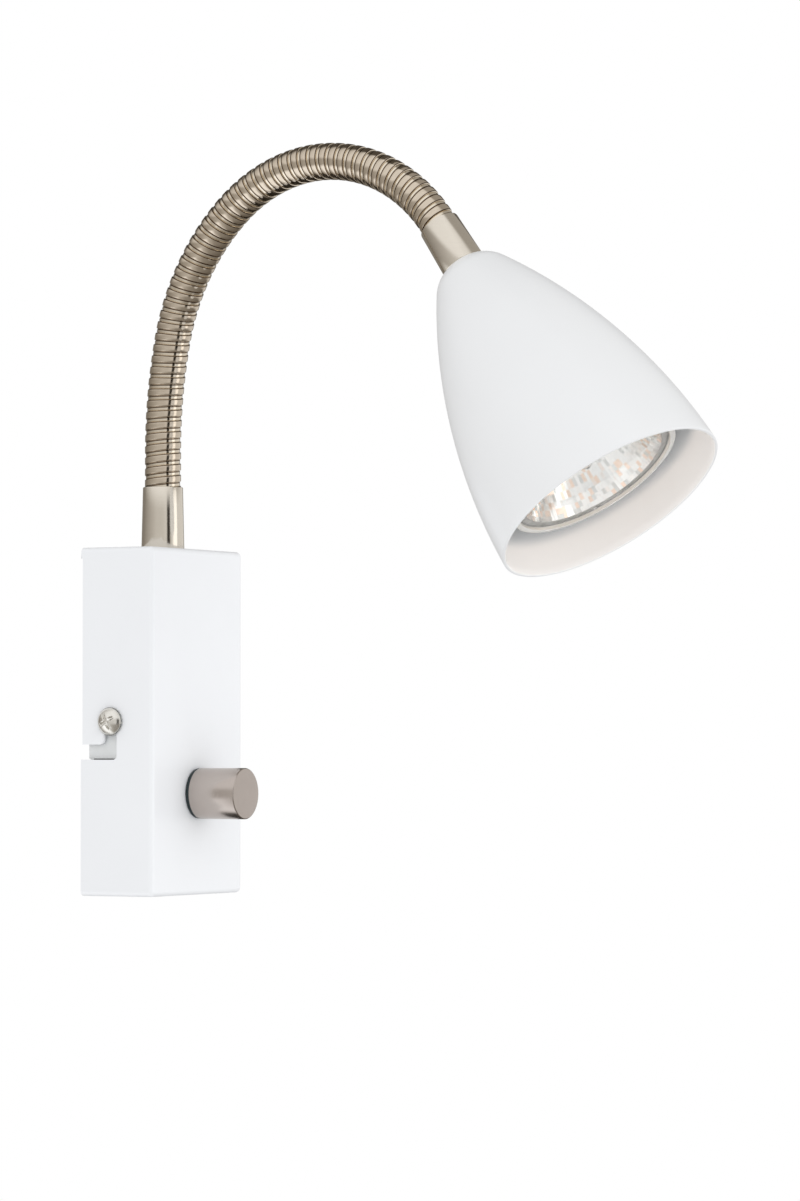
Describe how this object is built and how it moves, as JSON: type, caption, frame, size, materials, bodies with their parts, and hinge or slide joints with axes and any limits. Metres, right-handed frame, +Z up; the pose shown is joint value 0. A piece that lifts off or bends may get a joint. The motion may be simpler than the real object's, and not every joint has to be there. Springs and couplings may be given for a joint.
{
  "type": "bedside wall reading lamp",
  "caption": "Wall reading lamp: a steel wall box with a rotary dimmer, a ribbed flexible neck and a spun bell shade around a reflector bulb.",
  "frame": {"origin": "centre of the wall face of the box, midway between the two wall screws", "axes": "+Z up, +Y into the wall, +X to the right seen from the room"},
  "size_m": [0.0781, 0.1876, 0.208],
  "materials": {
    "white_enamel": "smooth white powder coat",
    "galvanised": "galvanised sheet",
    "nickel": "satin nickel plated",
    "zinc": "bright zinc plated",
    "black_plastic": "matt moulded",
    "grey_rubber": "soft",
    "board": "bare laminate",
    "component": "moulded",
    "yellow_film": "dipped",
    "ferrite": "sintered",
    "white_plastic": "moulded",
    "brass": "turned",
    "wire_insulation": "smooth",
    "lead_sheath": "smooth",
    "ceramic": "unglazed ceramic",
    "reflector_glass": "mirrored inside",
    "clear_glass": "clear"
  },
  "bodies": {
    "base": {"cover": "white_enamel", "wall_bracket": "galvanised", "cover_lock_washers": "zinc", "cover_screws": "zinc", "cable_grommet": "grey_rubber", "dimmer_potentiometer": "component", "dimmer_bushing": "zinc", "dimmer_washer": "zinc", "dimmer_nut": "zinc", "dimmer_board": "board", "dimmer_triac": "component", "dimmer_choke": "ferrite", "dimmer_capacitor": "yellow_film", "terminal_block": "white_plastic", "terminal_screws": "zinc", "earth_screw": "zinc", "dimmer_wires": "wire_insulation", "lower_ferrule": "nickel", "lower_nipple": "zinc", "lower_lock_washer": "zinc", "lower_nut": "zinc", "neck_link_01": "nickel", "neck_lead": "lead_sheath"},
    "knob": {"knob_cap": "nickel", "knob_insert": "black_plastic", "dimmer_shaft": "black_plastic"},
    "neck_02": {"neck_link_02": "nickel"},
    "neck_03": {"neck_link_03": "nickel"},
    "neck_04": {"neck_link_04": "nickel"},
    "neck_05": {"neck_link_05": "nickel"},
    "neck_06": {"neck_link_06": "nickel"},
    "neck_07": {"neck_link_07": "nickel"},
    "neck_08": {"neck_link_08": "nickel"},
    "neck_09": {"neck_link_09": "nickel"},
    "neck_10": {"neck_link_10": "nickel"},
    "neck_11": {"neck_link_11": "nickel"},
    "neck_12": {"neck_link_12": "nickel"},
    "neck_13": {"neck_link_13": "nickel"},
    "head": {"neck_link_14": "nickel", "upper_ferrule": "nickel", "upper_nipple": "zinc", "upper_lock_washer": "zinc", "shade_nut": "zinc", "strap_nut": "zinc", "shade": "white_enamel", "holder_strap": "zinc", "lamp_holder": "ceramic", "holder_screws": "zinc", "bulb_reflector": "reflector_glass", "bulb_front_glass": "clear_glass", "bulb_base": "ceramic", "bulb_pins": "brass", "bulb_capsule": "clear_glass"}
  },
  "joints": [
    {"name": "knob_turn", "type": "hinge", "parent": "base", "child": "knob", "pos_m": [0, -0.0233, -0.0201], "axis": [0, 1, 0], "range_deg": [-300, 0]},
    {"name": "neck_bend", "type": "hinge", "parent": "base", "child": "neck_02", "pos_m": [0, -0.01165, 0.07249], "axis": [0.9925, -0.1219, 0], "range_deg": [-9, 5], "deforming": ["neck_lead"]},
    {"name": "neck_sway", "type": "hinge", "parent": "neck_02", "child": "neck_03", "pos_m": [-0.00003, -0.0119, 0.08507], "axis": [-0.1217, -0.9908, -0.059], "range_deg": [-8, 8]},
    {"name": "neck_bend_2", "type": "hinge", "parent": "neck_03", "child": "neck_04", "pos_m": [-0.00019, -0.01317, 0.09759], "axis": [0.9925, -0.1219, 0], "range_deg": [-9, 5]},
    {"name": "neck_sway_2", "type": "hinge", "parent": "neck_04", "child": "neck_05", "pos_m": [-0.00048, -0.01553, 0.10994], "axis": [-0.1179, -0.9605, -0.252], "range_deg": [-8, 8]},
    {"name": "neck_bend_3", "type": "hinge", "parent": "neck_05", "child": "neck_06", "pos_m": [-0.00101, -0.01984, 0.12173], "axis": [0.9925, -0.1219, 0], "range_deg": [-9, 5]},
    {"name": "neck_sway_3", "type": "hinge", "parent": "neck_06", "child": "neck_07", "pos_m": [-0.0018, -0.02634, 0.13245], "axis": [-0.0973, -0.7925, -0.6021], "range_deg": [-8, 8]},
    {"name": "neck_bend_4", "type": "hinge", "parent": "neck_07", "child": "neck_08", "pos_m": [-0.00284, -0.03478, 0.14169], "axis": [0.9925, -0.1219, 0], "range_deg": [-9, 5]},
    {"name": "neck_sway_4", "type": "hinge", "parent": "neck_08", "child": "neck_09", "pos_m": [-0.00409, -0.04499, 0.14889], "axis": [-0.0564, -0.4595, -0.8864], "range_deg": [-8, 8]},
    {"name": "neck_bend_5", "type": "hinge", "parent": "neck_09", "child": "neck_10", "pos_m": [-0.00553, -0.05669, 0.15321], "axis": [0.9925, -0.1219, 0], "range_deg": [-9, 5]},
    {"name": "neck_sway_5", "type": "hinge", "parent": "neck_10", "child": "neck_11", "pos_m": [-0.00705, -0.06909, 0.15435], "axis": [0.0047, 0.0383, -0.9993], "range_deg": [-8, 8]},
    {"name": "neck_bend_6", "type": "hinge", "parent": "neck_11", "child": "neck_12", "pos_m": [-0.00856, -0.08137, 0.15224], "axis": [0.9925, -0.1219, 0], "range_deg": [-9, 5]},
    {"name": "neck_sway_6", "type": "hinge", "parent": "neck_12", "child": "neck_13", "pos_m": [-0.00995, -0.0927, 0.14703], "axis": [0.0646, 0.5261, -0.848], "range_deg": [-8, 8]},
    {"name": "neck_bend_7", "type": "hinge", "parent": "neck_13", "child": "head", "pos_m": [-0.01113, -0.10231, 0.13905], "axis": [0.9925, -0.1219, 0], "range_deg": [-9, 5]}
  ],
  "couplings": [
    {"joint": "neck_bend_2", "follows": "neck_bend", "ratio": 1},
    {"joint": "neck_sway_2", "follows": "neck_sway", "ratio": 1},
    {"joint": "neck_bend_3", "follows": "neck_bend", "ratio": 1},
    {"joint": "neck_sway_3", "follows": "neck_sway", "ratio": 1},
    {"joint": "neck_bend_4", "follows": "neck_bend", "ratio": 1},
    {"joint": "neck_sway_4", "follows": "neck_sway", "ratio": 1},
    {"joint": "neck_bend_5", "follows": "neck_bend", "ratio": 1},
    {"joint": "neck_sway_5", "follows": "neck_sway", "ratio": 1},
    {"joint": "neck_bend_6", "follows": "neck_bend", "ratio": 1},
    {"joint": "neck_sway_6", "follows": "neck_sway", "ratio": 1},
    {"joint": "neck_bend_7", "follows": "neck_bend", "ratio": 1}
  ]
}
